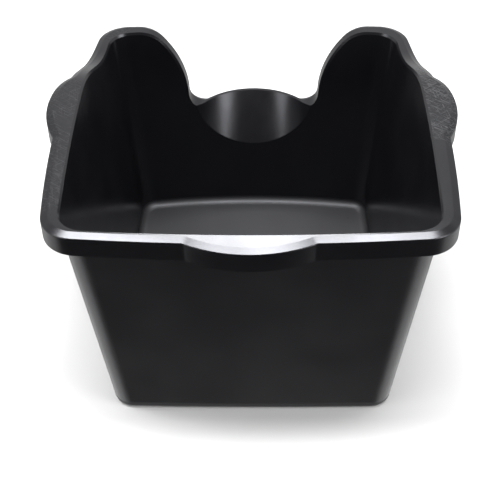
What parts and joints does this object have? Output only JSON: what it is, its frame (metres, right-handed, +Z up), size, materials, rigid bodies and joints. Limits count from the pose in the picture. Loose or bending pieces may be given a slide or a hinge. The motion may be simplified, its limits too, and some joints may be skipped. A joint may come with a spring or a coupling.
{
  "type": "mortar mixing tub",
  "caption": "Tapered black plastic mixing tub with a turned-down rim, side and front grips and a jug spout in a notched rear wall.",
  "frame": {"origin": "centre of the flat underside, midway between the front and rear walls at the base", "axes": "+Z up out of the tub, +Y towards the pouring spout, +X to the right seen from the front grip"},
  "size_m": [0.405, 0.4396, 0.2725],
  "materials": {
    "black_plastic": "semi-gloss injection-moulded black plastic, taken to be polypropylene, with light scuffs on the rim"
  },
  "bodies": {
    "root": {"floor_panel": "black_plastic", "front_wall": "black_plastic", "rear_wall": "black_plastic", "left_wall": "black_plastic", "right_wall": "black_plastic", "front_left_corner": "black_plastic", "front_right_corner": "black_plastic", "rear_left_corner": "black_plastic", "rear_right_corner": "black_plastic", "front_grip": "black_plastic", "left_grip": "black_plastic", "right_grip": "black_plastic", "front_left_rim": "black_plastic", "front_right_rim": "black_plastic", "left_step_rim": "black_plastic", "right_step_rim": "black_plastic", "rear_left_rim": "black_plastic", "rear_right_rim": "black_plastic", "pouring_spout": "black_plastic"}
  },
  "joints": []
}
